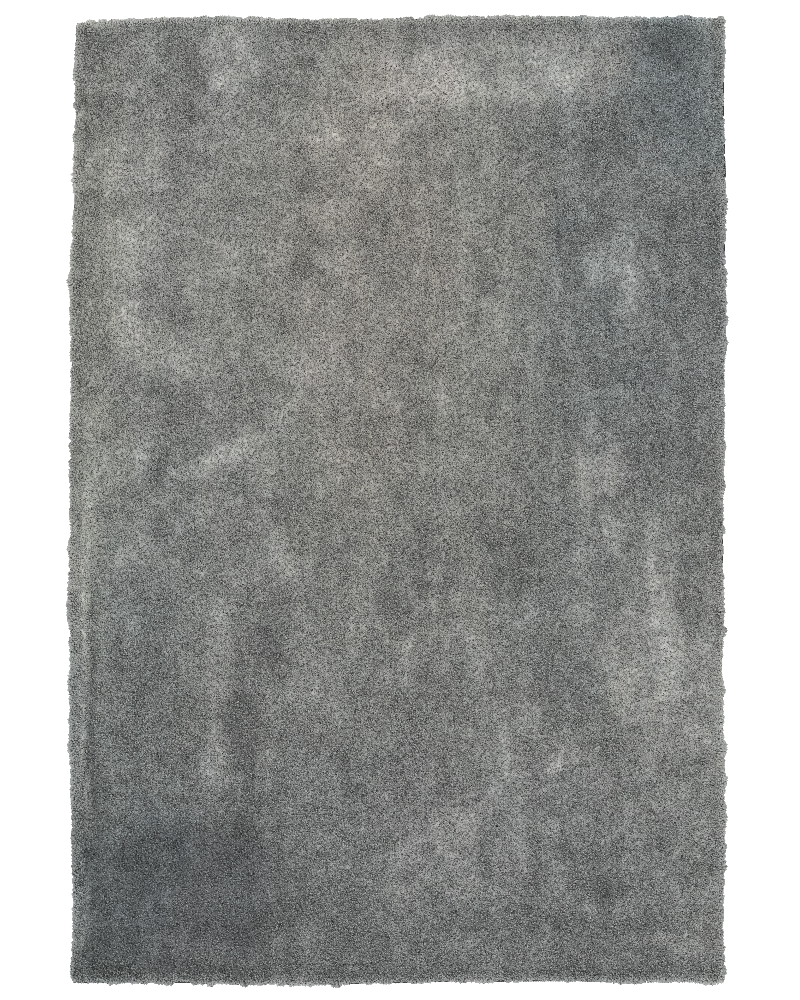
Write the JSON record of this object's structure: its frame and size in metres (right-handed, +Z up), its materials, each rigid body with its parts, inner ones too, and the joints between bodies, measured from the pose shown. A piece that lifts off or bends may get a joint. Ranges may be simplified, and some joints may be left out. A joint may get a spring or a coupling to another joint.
{
  "type": "shag rug",
  "caption": "Rectangular rug lying flat, with a deep soft grey pile stroked into lighter and darker patches, on a coated backing with a dark bound edge.",
  "frame": {"origin": "on the floor, under the middle of the rug", "axes": "+X across the rug, +Y along it, +Z up out of the pile"},
  "size_m": [1.3279, 1.9559, 0.028],
  "materials": {
    "pile": "deep cut pile of soft fine yarn, mid grey, warm grey where it catches the light and bluish where it lies away",
    "backing": "coarse dark woven backing cloth with a matt coating",
    "binding": "near-black yarn sewn over the edge"
  },
  "bodies": {
    "root": {"pile": "pile", "backing": "backing", "binding_left": "binding", "binding_right": "binding", "binding_head": "binding", "binding_foot": "binding"}
  },
  "joints": []
}
